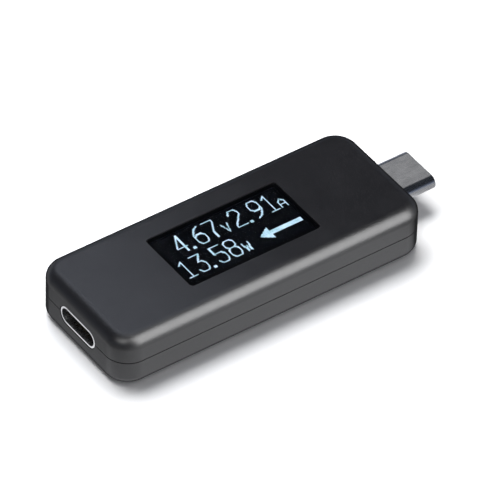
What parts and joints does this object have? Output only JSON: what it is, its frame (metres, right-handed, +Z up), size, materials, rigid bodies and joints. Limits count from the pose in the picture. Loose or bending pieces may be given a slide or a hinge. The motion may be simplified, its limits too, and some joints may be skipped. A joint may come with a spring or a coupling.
{
  "type": "usb power meter",
  "caption": "Flat black inline meter with rounded edges and an OLED read-out in its top face, a Type-C plug at one end and a Type-C socket at the other.",
  "frame": {"origin": "centre of the housing's flat underside", "axes": "+X along the housing, out of the plug; +Y across it, towards the top of the read-out's characters; +Z up, out of the display"},
  "size_m": [0.0627, 0.0226, 0.009],
  "materials": {
    "housing": "satin, faintly textured",
    "window": "polished, smoked",
    "adhesive": "matte tape",
    "polarizer": "smooth film",
    "glass": "clear, polished",
    "chip": "moulded epoxy",
    "polyimide": "amber film",
    "foam": "open foam, matte",
    "laminate": "solder mask over glass-fibre laminate",
    "connector_steel": "plated, satin",
    "spring_steel": "plain rolled",
    "insulator": "moulded",
    "contact_gold": "plated, smooth",
    "capacitor": "fired, with tinned ends",
    "resistor": "coated, with tinned ends",
    "ferrite": "pressed iron powder"
  },
  "bodies": {
    "root": {"top_cover": "housing", "bottom_cover": "housing", "display_window": "window", "window_adhesive": "adhesive", "oled_polarizer": "polarizer", "oled_front_glass": "glass", "oled_back_glass": "glass", "oled_driver_chip": "chip", "oled_flex_cable": "polyimide", "display_foam_pad": "foam", "main_board": "laminate", "plug_shell": "connector_steel", "plug_insulator": "insulator", "plug_latch_spring": "spring_steel", "plug_upper_contacts": "contact_gold", "plug_lower_contacts": "contact_gold", "plug_upper_ground_spring": "spring_steel", "plug_lower_ground_spring": "spring_steel", "socket_shell": "connector_steel", "socket_tongue": "insulator", "socket_mid_plate": "spring_steel", "socket_upper_contacts": "contact_gold", "socket_lower_contacts": "contact_gold", "shunt_resistor": "resistor", "current_monitor_chip": "chip", "microcontroller": "chip", "buck_regulator": "chip", "power_inductor": "ferrite", "tvs_diode": "chip", "data_line_esd_array": "chip", "input_capacitor_1": "capacitor", "input_capacitor_2": "capacitor", "output_capacitor_1": "capacitor", "output_capacitor_2": "capacitor", "display_capacitor_1": "capacitor", "display_capacitor_2": "capacitor", "divider_resistor_1": "resistor", "divider_resistor_2": "resistor"}
  },
  "joints": []
}
